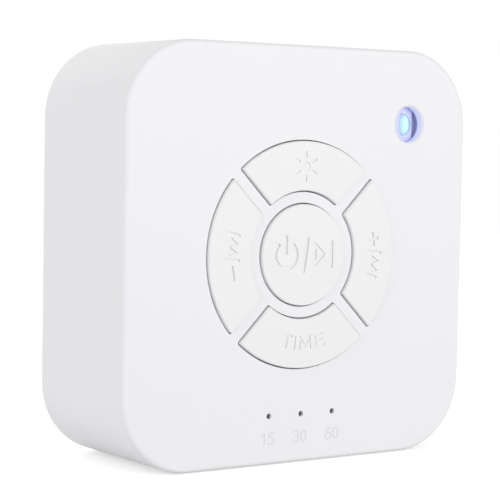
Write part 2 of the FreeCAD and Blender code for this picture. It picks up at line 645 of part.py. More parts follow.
def speaker_frame():
    """Pressed basket: flange, windowed side and the floor that carries the magnet."""
    wall = BASKET_WALL
    outer_top = SPEAKER_FLANGE_INNER_RADIUS + wall
    bore = COIL_OUTER_RADIUS + COIL_GAP
    basket = spun([
        (SPEAKER_FLANGE_INNER_RADIUS, 0),
        (SPEAKER_RADIUS, 0),
        (SPEAKER_RADIUS, SPEAKER_FLANGE_THICKNESS),
        (outer_top, SPEAKER_FLANGE_THICKNESS),
        (BASKET_FLOOR_RADIUS + wall, BASKET_DEPTH),
        (bore, BASKET_DEPTH),
        (bore, BASKET_FLOOR_DEPTH),
        (BASKET_FLOOR_RADIUS, BASKET_FLOOR_DEPTH),
        (SPEAKER_FLANGE_INNER_RADIUS, SPEAKER_FLANGE_THICKNESS + wall),
    ])
    start = SPEAKER_FACE - SPIDER_DEPTH + SPIDER_THICKNESS + wall
    end = SPEAKER_FLANGE_BACK - wall
    windows = []
    for turn in (0, 90):
        bar = block(2 * SPEAKER_RADIUS, BASKET_WINDOW_WIDTH, start, end, 0, SPEAKER_Z)
        bar.rotate(Vector(0, 0, SPEAKER_Z), Vector(0, 1, 0), turn)
        windows.append(bar)
    return basket.cut(windows)


def speaker_front_plate():
    """Steel ring on the floor of the basket."""
    bore = COIL_OUTER_RADIUS + COIL_GAP
    start, end = BASKET_DEPTH, MAGNET_START
    return spun([(bore, start), (FRONT_PLATE_RADIUS, start), (FRONT_PLATE_RADIUS, end), (bore, end)])


def speaker_magnet():
    """Ring magnet."""
    bore, rim = MAGNET_BORE_RADIUS, MAGNET_RADIUS
    return spun([(bore, MAGNET_START), (rim, MAGNET_START), (rim, MAGNET_END), (bore, MAGNET_END)])


def speaker_yoke():
    """Steel back plate with the pole that stands inside the voice coil."""
    return spun([
        (0, BASKET_DEPTH),
        (POLE_RADIUS, BASKET_DEPTH),
        (POLE_RADIUS, MAGNET_END),
        (YOKE_RADIUS, MAGNET_END),
        (YOKE_RADIUS, SPEAKER_BACK),
        (0, SPEAKER_BACK),
    ])


def voice_coil():
    """Thin tube in the magnet's gap."""
    inner, outer, end = COIL_INNER_RADIUS, COIL_OUTER_RADIUS, MAGNET_END - COIL_BACK_ROOM
    return spun([(inner, CONE_DEPTH), (outer, CONE_DEPTH), (outer, end), (inner, end)])


def speaker_cone():
    """Paper cone from the voice coil out to the surround."""
    return spun([
        (COIL_OUTER_RADIUS, CONE_DEPTH),
        (CONE_RADIUS, CONE_RIM_DEPTH),
        (CONE_RADIUS, CONE_RIM_DEPTH + CONE_THICKNESS),
        (COIL_OUTER_RADIUS, CONE_DEPTH + CONE_THICKNESS),
    ])


def arched_ring(inner, outer, depth, rise, thickness):
    """Ring of even thickness that arches towards the speaker's face, turned about its axis."""

    def place(radius, level):
        return Vector(radius, y_at(SPEAKER_FACE - level), SPEAKER_Z)

    middle = (inner + outer) / 2
    below = depth + thickness
    upper = Part.Arc(place(inner, depth), place(middle, depth - rise), place(outer, depth)).toShape()
    lower = Part.Arc(place(outer, below), place(middle, below - rise), place(inner, below)).toShape()
    outer_side = Part.makeLine(place(outer, depth), place(outer, below))
    inner_side = Part.makeLine(place(inner, below), place(inner, depth))
    face = Part.Face(Part.Wire([upper, outer_side, lower, inner_side]))
    return face.revolve(Vector(0, 0, SPEAKER_Z), Vector(0, 1, 0), 360)


def speaker_surround():
    """Half roll between the cone and the flange."""
    outer = SPEAKER_FLANGE_INNER_RADIUS
    return arched_ring(CONE_RADIUS, outer, CONE_RIM_DEPTH, SURROUND_ROLL_HEIGHT, SURROUND_THICKNESS)


def speaker_spider():
    """Flexible disc that centres the voice coil above the basket floor."""
    return arched_ring(COIL_OUTER_RADIUS, BASKET_FLOOR_RADIUS, SPIDER_DEPTH, SPIDER_RISE, SPIDER_THICKNESS)


def dust_cap():
    """Small dome over the voice coil, glued on the cone."""
    radius = COIL_OUTER_RADIUS
    rise = DUST_CAP_HEIGHT
    ball = (radius ** 2 + rise ** 2) / (2 * rise)
    half_angle = math.asin(radius / ball) / 2

    def place(ball_radius, angle):
        depth = CONE_DEPTH - CONE_THICKNESS - rise + ball - ball_radius * math.cos(angle)
        return Vector(ball_radius * math.sin(angle), y_at(SPEAKER_FACE - depth), SPEAKER_Z)

    outer = Part.Arc(place(ball, 0), place(ball, half_angle), place(ball, 2 * half_angle)).toShape()
    thin = ball - CONE_THICKNESS
    inner = Part.Arc(place(thin, 2 * half_angle), place(thin, half_angle), place(thin, 0)).toShape()
    rim = Part.makeLine(place(ball, 2 * half_angle), place(thin, 2 * half_angle))
    axis = Part.makeLine(place(thin, 0), place(ball, 0))
    face = Part.Face(Part.Wire([outer, rim, inner, axis]))
    return face.revolve(Vector(0, 0, SPEAKER_Z), Vector(0, 1, 0), 360)


def grille_cloth():
    """Dust cloth between the grille and the speaker."""
    return rod(SPEAKER_RADIUS, COVER_INNER - CLOTH_THICKNESS, COVER_INNER, 0, SPEAKER_Z)


def speaker_gasket():
    """Foam ring between the speaker flange and the cover."""
    ring = rod(SPEAKER_RADIUS, SPEAKER_FACE, COVER_INNER - CLOTH_THICKNESS, 0, SPEAKER_Z)
    return ring.cut(rod(SPEAKER_RADIUS - GASKET_WIDTH, SPEAKER_FACE, COVER_INNER, 0, SPEAKER_Z))


def speaker_screws():
    """Four screws whose heads overlap the speaker flange."""
    screws = []
    seat = SPEAKER_FLANGE_BACK
    for x, z in speaker_screw_places():
        head = rod(SPEAKER_SCREW_HEAD_RADIUS, seat - SPEAKER_SCREW_HEAD_HEIGHT, seat, x, z)
        shank = rod(SPEAKER_SCREW_SHANK_RADIUS, seat, seat + SPEAKER_SCREW_LENGTH, x, z)
        screws.append(head.fuse(shank))
    return Part.makeCompound(screws)


def speaker_terminals():
    """Solder tag plate under the speaker flange."""
    start = SPEAKER_FLANGE_BACK - TERMINAL_THICKNESS
    return block(TERMINAL_LENGTH, TERMINAL_WIDTH, start, SPEAKER_FLANGE_BACK, TERMINAL_X, SPEAKER_Z)


def battery_cell():
    """Flat lithium cell under the speaker."""
    cell = block(BATTERY_WIDTH, BATTERY_HEIGHT, BATTERY_FRONT, BATTERY_BACK, 0, BATTERY_Z)
    along_x = [e for e in cell.Edges if abs(e.tangentAt(e.FirstParameter).x) > 0.999]
    return cell.makeFillet(BATTERY_EDGE_RADIUS, along_x)


def battery_pad():
    """Adhesive foam between the cell and the rear cover."""
    lost = 2 * BATTERY_PAD_MARGIN
    return block(BATTERY_WIDTH - lost, BATTERY_HEIGHT - lost, BATTERY_BACK, COVER_INNER, 0, BATTERY_Z)


def battery_protection_board():
    """Narrow board on the tab end of the cell."""
    thickness = PROTECTION_BOARD_THICKNESS
    start = (BATTERY_FRONT + BATTERY_BACK - PROTECTION_BOARD_WIDTH) / 2
    end = start + PROTECTION_BOARD_WIDTH
    return block(thickness, PROTECTION_BOARD_HEIGHT, start, end, (BATTERY_WIDTH + thickness) / 2, BATTERY_Z)


def lead(start_x, hand, level, z):
    """Pair of wires that run out sideways from a tag, turn once and drop into a connector on the board."""
    turn_x = start_x + hand * WIRE_REACH
    bend = WIRE_BEND_SHARE * WIRE_REACH
    diagonal = bend * (1 - math.sqrt(0.5))
    wires = []
    for side in (-1, 1):
        wire_z = z + side * WIRE_SPACING / 2
        tag = Vector(start_x, y_at(level), wire_z)
        before = Vector(turn_x - hand * bend, y_at(level), wire_z)
        middle = Vector(turn_x - hand * diagonal, y_at(level - diagonal), wire_z)
        after = Vector(turn_x, y_at(level - bend), wire_z)
        plug = Vector(turn_x, y_at(CONNECTOR_END), wire_z)
        bend_edge = Part.Arc(before, middle, after).toShape()
        path = Part.Wire([Part.makeLine(tag, before), bend_edge, Part.makeLine(after, plug)])
        section = Part.Wire([Part.makeCircle(WIRE_RADIUS, tag, Vector(1, 0, 0))])
        wires.append(path.makePipeShell([section], True, False))
    return Part.makeCompound(wires)


def connector(x, z):
    """Two-pin plug in its header on the back of the board."""
    return block(CONNECTOR_LENGTH, CONNECTOR_WIDTH, BOARD_BACK, CONNECTOR_END, x, z)


def battery_lead():
    """Pair of wires from the cell's protection board."""
    start_x = BATTERY_WIDTH / 2 + PROTECTION_BOARD_THICKNESS
    return lead(start_x, 1, (BATTERY_FRONT + BATTERY_BACK) / 2, BATTERY_Z)


def battery_connector():
    """Plug of the battery lead."""
    return connector(BATTERY_WIDTH / 2 + PROTECTION_BOARD_THICKNESS + WIRE_REACH, BATTERY_Z)


def speaker_lead():
    """Pair of wires from the solder tags."""
    return lead(TERMINAL_X - TERMINAL_LENGTH / 2, -1, SPEAKER_FLANGE_BACK - TERMINAL_THICKNESS / 2, SPEAKER_Z)


def speaker_connector():
    """Plug of the speaker lead."""
    return connector(TERMINAL_X - TERMINAL_LENGTH / 2 - WIRE_REACH, SPEAKER_Z)


def usb_port_shell():
    """Steel tube of the charging socket, closed at its inner end."""
    tube = port_prism(0, PORT_INNER_X, PORT_OUTER_X)
    return tube.cut(port_prism(-PORT_SHELL, PORT_INNER_X + PORT_BACK_THICKNESS, PORT_OUTER_X))


def usb_port_tongue():
    """Contact tongue in the charging socket."""
    start_x = PORT_INNER_X + PORT_BACK_THICKNESS
    corner = Vector(start_x, y_at(PORT_DEPTH) - PORT_TONGUE_THICKNESS / 2, MIDDLE_Z - PORT_TONGUE_WIDTH / 2)
    return Part.makeBox(PORT_TONGUE_LENGTH, PORT_TONGUE_THICKNESS, PORT_TONGUE_WIDTH, corner)


def chip(size, x, z):
    """Flat package on the back of the board."""
    width, height, thickness = size
    return block(width, height, BOARD_BACK, BOARD_BACK + thickness, x, z)


def capacitors():
    """Two round capacitors on the back of the board, beside the charging socket."""
    x = STANDOFF_X
    z = MIDDLE_Z + BOARD_STANDOFF_HALF_Z + CAPACITOR_SPACING
    end = BOARD_BACK + CAPACITOR_LENGTH
    return Part.makeCompound([
        rod(CAPACITOR_RADIUS, BOARD_BACK, end, x, z),
        rod(CAPACITOR_RADIUS, BOARD_BACK, end, x - CAPACITOR_SPACING, z),
    ])


def all_nodes():
    """Every piece by its name."""
    nodes = {
        "front_housing": front_housing(),
        "rear_cover": rear_cover(),
        "cover_screws": cover_screws(),
        "rear_feet": rear_feet(),
        "main_board": main_board(),
        "board_screws": board_screws(),
        "light_lens": light_lens(),
        "light_shield": light_shield(),
        "light_diode": light_diode(),
        "timer_light_guide": timer_light_guide(),
        "timer_diodes": timer_diodes(),
        "speaker_frame": speaker_frame(),
        "speaker_front_plate": speaker_front_plate(),
        "speaker_magnet": speaker_magnet(),
        "speaker_yoke": speaker_yoke(),
        "voice_coil": voice_coil(),
        "speaker_spider": speaker_spider(),
        "speaker_cone": speaker_cone(),
        "speaker_surround": speaker_surround(),
        "dust_cap": dust_cap(),
        "speaker_gasket": speaker_gasket(),
        "grille_cloth": grille_cloth(),
        "speaker_screws": speaker_screws(),
        "speaker_terminals": speaker_terminals(),
        "speaker_lead": speaker_lead(),
        "speaker_connector": speaker_connector(),
        "battery_cell": battery_cell(),
        "battery_pad": battery_pad(),
        "battery_protection_board": battery_protection_board(),
        "battery_lead": battery_lead(),
        "battery_connector": battery_connector(),
        "usb_port_shell": usb_port_shell(),
        "usb_port_tongue": usb_port_tongue(),
        "sound_processor": chip(PROCESSOR_SIZE, -KEY_RING_RADIUS, MIDDLE_Z - KEY_RING_RADIUS),
        "memory_chip": chip(MEMORY_SIZE, 0, MIDDLE_Z - KEY_RING_RADIUS),
        "amplifier_chip": chip(AMPLIFIER_SIZE, -KEY_RING_RADIUS, SPEAKER_Z + KEY_RING_RADIUS),
        "charge_controller": chip(CHARGER_SIZE, KEY_RING_RADIUS, MIDDLE_Z),
        "capacitors": capacitors(),
    }
    for name, turn in KEYS.items():
        nodes[f"{name}_key"] = key(turn)
        nodes[f"{name}_switch"] = switch_body(turn)
        nodes[f"{name}_plunger"] = switch_plunger(turn)
    return nodes


os.makedirs("parts", exist_ok=True)
for node_name, solid in all_nodes().items():
    solid.exportStep(f"parts/{node_name}.step")
    print(node_name, len(solid.Solids), "solids, valid", solid.isValid(), "volume", round(solid.Volume, 1))
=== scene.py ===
"""Looks of an upright white noise sound machine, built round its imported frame."""

import json
import logging
import math
from dataclasses import dataclass
from enum import Enum

import bmesh
import bpy
from mathutils import Matrix, Vector


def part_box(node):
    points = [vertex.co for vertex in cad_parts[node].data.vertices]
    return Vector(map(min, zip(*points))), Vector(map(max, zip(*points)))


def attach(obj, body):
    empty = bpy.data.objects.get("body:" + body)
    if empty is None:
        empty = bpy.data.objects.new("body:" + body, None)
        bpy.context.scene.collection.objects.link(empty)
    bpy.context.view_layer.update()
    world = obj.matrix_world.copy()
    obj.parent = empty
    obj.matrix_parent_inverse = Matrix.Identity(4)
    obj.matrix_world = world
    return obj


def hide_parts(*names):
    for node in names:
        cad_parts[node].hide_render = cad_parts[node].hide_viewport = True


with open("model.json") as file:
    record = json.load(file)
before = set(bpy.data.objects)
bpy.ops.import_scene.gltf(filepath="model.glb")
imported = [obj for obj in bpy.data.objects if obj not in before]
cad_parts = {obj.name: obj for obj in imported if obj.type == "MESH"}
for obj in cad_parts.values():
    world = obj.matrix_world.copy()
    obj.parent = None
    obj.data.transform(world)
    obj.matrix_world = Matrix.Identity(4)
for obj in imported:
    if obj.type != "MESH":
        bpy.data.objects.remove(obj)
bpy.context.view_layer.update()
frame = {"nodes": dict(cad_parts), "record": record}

log = logging.getLogger("sound_machine")

MM = 0.001
IMAGE_SIDE = 500
SENSOR_WIDTH = 36.0
WAVE_RATE = 20.0  # turn of a wave texture over one metre at a scale of 1, in radians
LEVEL_SHARE = 0.99999  # length along one axis above which a normal counts as level
FLAT_ANGLE = 0.01  # angle below which two faces count as one flat, in radians
QUARTER = math.radians(90)

Point = tuple[float, float]
Stroke = list[Point]
Point3 = tuple[float, float, float]
Colour = tuple[float, float, float]


def linear(red: int, green: int, blue: int) -> Colour:
    """Turn a display colour into scene light.

    Args:
        red: Display red from 0 to 255.
        green: Display green from 0 to 255.
        blue: Display blue from 0 to 255.

    Returns:
        The three linear values.
    """

    def channel(value: int) -> float:
        """Linear value of one display channel."""
        share = value / 255
        return share / 12.92 if share <= 0.04045 else ((share + 0.055) / 1.055) ** 2.4

    return channel(red), channel(green), channel(blue)


class Reading(Enum):
    """Direction that a label reads in, as degrees turned clockwise from level."""

    LEVEL = 0.0
    DOWNWARD = 90.0


class Thread(Enum):
    """Axis that a pattern of bands runs across."""

    ACROSS = "X"
    DEEP = "Y"
    UPRIGHT = "Z"


class Recipe:
    """Material under construction, with its texture nodes on the piece's own coordinates."""

    def __init__(self, name: str, roughness: float, specular: float = 0.5, metallic: float = 0.0) -> None:
        """Start a material.

        Args:
            name: Name of the finish.
            roughness: Roughness all over, until a pattern takes over.
            specular: Strength of the plain gloss.
            metallic: One for bare metal.
        """
        self.material = bpy.data.materials.new(name)
        self.material.use_nodes = True
        self.nodes, self.links = self.material.node_tree.nodes, self.material.node_tree.links
        self.shader = self.nodes["Principled BSDF"]
        self.shader.inputs["Roughness"].default_value = roughness
        self.shader.inputs["Specular IOR Level"].default_value = specular
        self.shader.inputs["Metallic"].default_value = metallic
        self.place = self.nodes.new("ShaderNodeTexCoord").outputs["Object"]

    def stretch(self, scale: Point3) -> bpy.types.NodeSocket:
        """Squeeze the coordinates along each axis.

        Args:
            scale: Factor for each axis.

        Returns:
            The squeezed coordinates.
        """
        node = self.nodes.new("ShaderNodeMapping")
        node.inputs["Scale"].default_value = scale
        self.links.new(self.place, node.inputs["Vector"])
        return node.outputs["Vector"]

    def noise(self, scale: float, detail: float = 2.0,
              place: bpy.types.NodeSocket | None = None) -> bpy.types.NodeSocket:
        """Add a soft random pattern.

        Args:
            scale: Patches per metre, roughly.
            detail: Octaves of finer patches.
            place: Coordinates to use instead of the plain ones.

        Returns:
            The pattern, from 0 to 1.
        """
        node = self.nodes.new("ShaderNodeTexNoise")
        node.inputs["Scale"].default_value = scale
        node.inputs["Detail"].default_value = detail
        self.links.new(place or self.place, node.inputs["Vector"])
        return node.outputs["Fac"]

    def bands(self, axis: Thread, pitch: float, wobble: float = 0.0) -> bpy.types.NodeSocket:
        """Add even bands.

        Args:
            axis: Axis that the bands follow one another along.
            pitch: Distance from one band to the next, in metres.
            wobble: How far noise bends them.

        Returns:
            The pattern, from 0 to 1.
        """
        node = self.nodes.new("ShaderNodeTexWave")
        node.bands_direction = axis.value
        node.inputs["Scale"].default_value = 2 * math.pi / WAVE_RATE / pitch
        node.inputs["Distortion"].default_value = wobble
        self.links.new(self.place, node.inputs["Vector"])
        return node.outputs["Fac"]

    def cells(self, scale: float) -> bpy.types.NodeSocket:
        """Add a pattern of round cells.

        Args:
            scale: Cells per metre.

        Returns:
            Distance to the middle of each cell.
        """
        node = self.nodes.new("ShaderNodeTexVoronoi")
        node.inputs["Scale"].default_value = scale
        self.links.new(self.place, node.inputs["Vector"])
        return node.outputs["Distance"]

    def joined(self, operation: str, first: bpy.types.NodeSocket,
               second: bpy.types.NodeSocket) -> bpy.types.NodeSocket:
        """Join two patterns into one.

        Args:
            operation: Name of the sum.
            first: One pattern.
            second: The other pattern.

        Returns:
            The joined pattern.
        """
        node = self.nodes.new("ShaderNodeMath")
        node.operation = operation
        self.links.new(first, node.inputs[0])
        self.links.new(second, node.inputs[1])
        return node.outputs["Value"]

    def spread(self, pattern: bpy.types.NodeSocket, start: Point, end: Point) -> bpy.types.NodeSocket:
        """Map a pattern to another span.

        Args:
            pattern: Pattern to map.
            start: Lowest value in, and what it becomes.
            end: Highest value in, and what it becomes.

        Returns:
            The mapped pattern.
        """
        node = self.nodes.new("ShaderNodeMapRange")
        node.inputs["From Min"].default_value, node.inputs["To Min"].default_value = start
        node.inputs["From Max"].default_value, node.inputs["To Max"].default_value = end
        self.links.new(pattern, node.inputs["Value"])
        return node.outputs["Result"]

    def colour(self, pattern: bpy.types.NodeSocket, low: Colour, high: Colour) -> None:
        """Colour the surface between two shades.

        Args:
            pattern: Share of the second shade.
            low: Shade where the pattern is 0.
            high: Shade where the pattern is 1.
        """
        node = self.nodes.new("ShaderNodeMix")
        node.data_type = "RGBA"
        node.inputs["A"].default_value = (*low, 1)
        node.inputs["B"].default_value = (*high, 1)
        self.links.new(pattern, node.inputs["Factor"])
        self.links.new(node.outputs["Result"], self.shader.inputs["Base Color"])

    def mottle(self, colour: Colour, share: float, scale: float) -> bpy.types.NodeSocket:
        """Colour the surface with faint uneven patches.

        Args:
            colour: Middle shade.
            share: How far the patches leave it.
            scale: Patches per metre.

        Returns:
            The pattern of the patches.
        """
        pattern = self.noise(scale, 3.0)
        low = tuple(c * (1 - share) for c in colour)
        high = tuple(min(1.0, c * (1 + share)) for c in colour)
        self.colour(pattern, low, high)
        return pattern

    def gloss(self, pattern: bpy.types.NodeSocket, low: float, high: float) -> None:
        """Vary the roughness between two values over a pattern."""
        self.links.new(self.spread(pattern, (0.0, low), (1.0, high)), self.shader.inputs["Roughness"])

    def bump(self, pattern: bpy.types.NodeSocket, height: float, strength: float = 0.3) -> None:
        """Raise the surface by a pattern.

        Args:
            pattern: Height pattern from 0 to 1.
            height: Height of a full step, in metres.
            strength: Share of it that shows.
        """
        node = self.nodes.new("ShaderNodeBump")
        node.inputs["Strength"].default_value = strength
        node.inputs["Distance"].default_value = height
        self.links.new(pattern, node.inputs["Height"])
        self.links.new(node.outputs["Normal"], self.shader.inputs["Normal"])


@dataclass(frozen=True)
class Plastic:
    """Moulded plastic or rubber: its colour, gloss and the fine unevenness of a moulded skin."""

    name: str
    shade: Colour
    roughness: float = 0.42
    specular: float = 0.4
    mottling: float = 0.01
    grain_height: float = 0.012 * MM
    grain_scale: float = 2200.0

    def material(self) -> bpy.types.Material:
        """Build the shader."""
        recipe = Recipe(self.name, self.roughness, self.specular)
        patches = recipe.mottle(self.shade, self.mottling, 60.0)
        recipe.gloss(patches, self.roughness - 0.04, self.roughness + 0.04)
        recipe.bump(recipe.noise(self.grain_scale, 3.0), self.grain_height, 0.25)
        return recipe.material


@dataclass(frozen=True)
class Metal:
    """Plated or drawn metal: fine marks along one way."""

    name: str
    shade: Colour
    roughness: float = 0.3
    marks: Point3 = (1.0, 12.0, 1.0)

    def material(self) -> bpy.types.Material:
        """Build the shader."""
        recipe = Recipe(self.name, self.roughness, metallic=1.0)
        recipe.mottle(self.shade, 0.06, 180.0)
        fine = recipe.noise(900.0, 4.0, recipe.stretch(self.marks))
        recipe.gloss(fine, self.roughness - 0.08, self.roughness + 0.1)
        recipe.bump(fine, 0.01 * MM, 0.2)
        return recipe.material


@dataclass(frozen=True)
class Weave:
    """Thin cloth with threads across and up."""

    name: str
    shade: Colour
    pitch: float = 0.35 * MM

    def material(self) -> bpy.types.Material:
        """Build the shader."""
        recipe = Recipe(self.name, 0.95, 0.1)
        recipe.shader.inputs["Sheen Weight"].default_value = 0.3
        across = recipe.bands(Thread.ACROSS, self.pitch, 0.6)
        upright = recipe.bands(Thread.UPRIGHT, self.pitch, 0.6)
        threads = recipe.joined("MAXIMUM", across, upright)
        recipe.colour(threads, tuple(c * 0.35 for c in self.shade), self.shade)
        recipe.bump(threads, 0.12 * MM, 0.6)
        return recipe.material


@dataclass(frozen=True)
class Foam:
    """Closed cell foam, felt or pressed paper: small soft pits."""

    name: str
    shade: Colour
    cell: float = 0.5 * MM
    depth: float = 0.1 * MM

    def material(self) -> bpy.types.Material:
        """Build the shader."""
        recipe = Recipe(self.name, 0.92, 0.15)
        recipe.mottle(self.shade, 0.15, 400.0)
        recipe.bump(recipe.cells(1 / self.cell), self.depth, 0.5)
        return recipe.material


@dataclass(frozen=True)
class Laminate:
    """Coated circuit board, with faint tracks under the coat."""

    name: str
    shade: Colour
    track: Colour
    pitch: float = 2.6 * MM

    def material(self) -> bpy.types.Material:
        """Build the shader."""
        recipe = Recipe(self.name, 0.32, 0.5)
        across = recipe.bands(Thread.ACROSS, self.pitch, 9.0)
        tracks = recipe.spread(across, (0.8, 0.0), (0.9, 1.0))
        recipe.colour(tracks, self.shade, self.track)
        recipe.bump(tracks, 0.03 * MM, 0.4)
        return recipe.material


@dataclass(frozen=True)
class Winding:
    """Turns of enamelled wire, one beside the next along the coil."""

    name: str
    shade: Colour
    pitch: float = 0.2 * MM

    def material(self) -> bpy.types.Material:
        """Build the shader."""
        recipe = Recipe(self.name, 0.35, metallic=1.0)
        turns = recipe.bands(Thread.DEEP, self.pitch)
        # Darker between the turns: painted shade in the grooves between the wires.
        recipe.colour(turns, tuple(c * 0.4 for c in self.shade), self.shade)
        recipe.bump(turns, 0.08 * MM, 0.7)
        return recipe.material


@dataclass(frozen=True)
class Glow:
    """Clear plastic lit from behind, with the light painted on: a painted glow, and a colour that is paler on
    one side where the painted light is strongest.
    """

    name: str
    # near and far are the painted colours of the lit side and the other side; light and strength make the
    # painted glow; turn_x is where the painted light fades.
    near: Colour
    far: Colour
    light: Colour
    strength: float
    turn_x: float = 0.0
    spread: float = 1.0 * MM
    roughness: float = 0.25

    def material(self) -> bpy.types.Material:
        """Build the shader."""
        recipe = Recipe(self.name, self.roughness)
        # Painted glow of the light behind the piece.
        recipe.shader.inputs["Emission Strength"].default_value = self.strength
        recipe.shader.inputs["Emission Color"].default_value = (*self.light, 1)
        split = recipe.nodes.new("ShaderNodeSeparateXYZ")
        recipe.links.new(recipe.place, split.inputs["Vector"])
        start, end = self.turn_x - self.spread, self.turn_x + self.spread
        # Share of the far colour along X: the painted edge of the light.
        painted_pool_share = recipe.spread(split.outputs["X"], (start, 0.0), (end, 1.0))
        uneven = recipe.spread(recipe.noise(700.0), (0.0, 0.92), (1.0, 1.08))
        recipe.colour(recipe.joined("MULTIPLY", painted_pool_share, uneven), self.near, self.far)
        return recipe.material


Finish = Plastic | Metal | Weave | Foam | Laminate | Winding | Glow


def mesh_of(name: str, shape: bmesh.types.BMesh) -> bpy.types.Mesh:
    """Turn a bmesh into a named mesh, and free it."""
    mesh = bpy.data.meshes.new(name)
    shape.to_mesh(mesh)
    shape.free()
    return mesh


def linked(name: str, data: bpy.types.ID) -> bpy.types.Object:
    """Make an object from its data and link it to the scene."""
    made = bpy.data.objects.new(name, data)
    bpy.context.collection.objects.link(made)
    return made


def front_of(node: str) -> float:
    """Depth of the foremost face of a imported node, in metres."""
    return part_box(node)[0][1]


def window_middle() -> Point:
    """Middle of the light window, taken from the round side of its lens.

    Returns:
        Its place across and its height, in metres.
    """
    low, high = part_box("light_lens")
    radius = (high[2] - low[2]) / 2
    return low[0] + radius, low[2] + radius


def add_piece(name: str, shape: bmesh.types.BMesh, finish: bpy.types.Material, body: str) -> bpy.types.Object:
    """Make a finished piece from a bmesh and hand it to its body.

    Args:
        name: Name of the piece.
        shape: Mesh at its place, freed here.
        finish: Material of the piece.
        body: Body that the piece moves with.

    Returns:
        The new object, at the origin.
    """
    piece = linked(name, mesh_of(name, shape))
    piece.data.materials.append(finish)
    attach(piece, body)
    log.info("%s: %d faces, rides on %s", name, len(piece.data.polygons), body)
    return piece


def is_level(face: bmesh.types.BMFace) -> bool:
    """Tell whether a face looks straight along an axis."""
    return max(abs(part) for part in face.normal) > LEVEL_SHARE


def smooth_by_angle(piece: bpy.types.Object, degrees: float) -> None:
    """Shade a piece smooth, with its sharp edges and the rims of its flat faces kept.

    Args:
        piece: Piece to shade.
        degrees: Angle above which an edge stays sharp.
    """
    mesh = piece.data
    shape = bmesh.new()
    shape.from_mesh(mesh)
    limit = math.radians(degrees)
    for edge in shape.edges:
        angle = edge.calc_face_angle(math.pi)
        rim = angle > FLAT_ANGLE and any(is_level(face) for face in edge.link_faces)
        edge.smooth = len(edge.link_faces) == 2 and angle < limit and not rim
    for face in shape.faces:
        face.smooth = True
    shape.to_mesh(mesh)
    shape.free()


def arc(centre: Point, radii: Point, start: float, end: float, steps: int = 16) -> Stroke:
    """Points along part of an ellipse.

    Args:
        centre: Middle of the ellipse.
        radii: Its half width and half height.
        start: Angle of the first point, in degrees from the right.
        end: Angle of the last point.
        steps: Number of short runs.

    Returns:
        The points, in the same units.
    """
    turns = [math.radians(start + (end - start) * step / steps) for step in range(steps + 1)]
    return [(centre[0] + radii[0] * math.cos(t), centre[1] + radii[1] * math.sin(t)) for t in turns]


def digit(figure: str, left: float) -> list[Stroke]:
    """Plain strokes of one figure, 2.2 high and centred on its height.

    Args:
        figure: Figure to draw.
        left: Left edge of its room.

    Returns:
        The strokes.
    """
    shapes: dict[str, list[Stroke]] = {
        "0": [arc((0.75, 0.0), (0.62, 1.1), 0, 360)],
        "1": [[(0.2, 0.7), (0.75, 1.1), (0.75, -1.1)]],
        "3": [arc((0.62, 0.58), (0.6, 0.52), 150, -90), arc((0.62, -0.52), (0.7, 0.58), 90, -150)],
        "5": [[(1.25, 1.1), (0.3, 1.1), (0.2, 0.12)], arc((0.62, -0.42), (0.68, 0.68), 130, -140)],
        "6": [[(1.1, 1.0), (0.75, 1.1), (0.35, 0.7), (0.12, 0.0), (0.12, -0.4)],
              arc((0.74, -0.44), (0.62, 0.66), 0, 360)],
    }
    return [[(left + x, y) for x, y in stroke] for stroke in shapes[figure]]


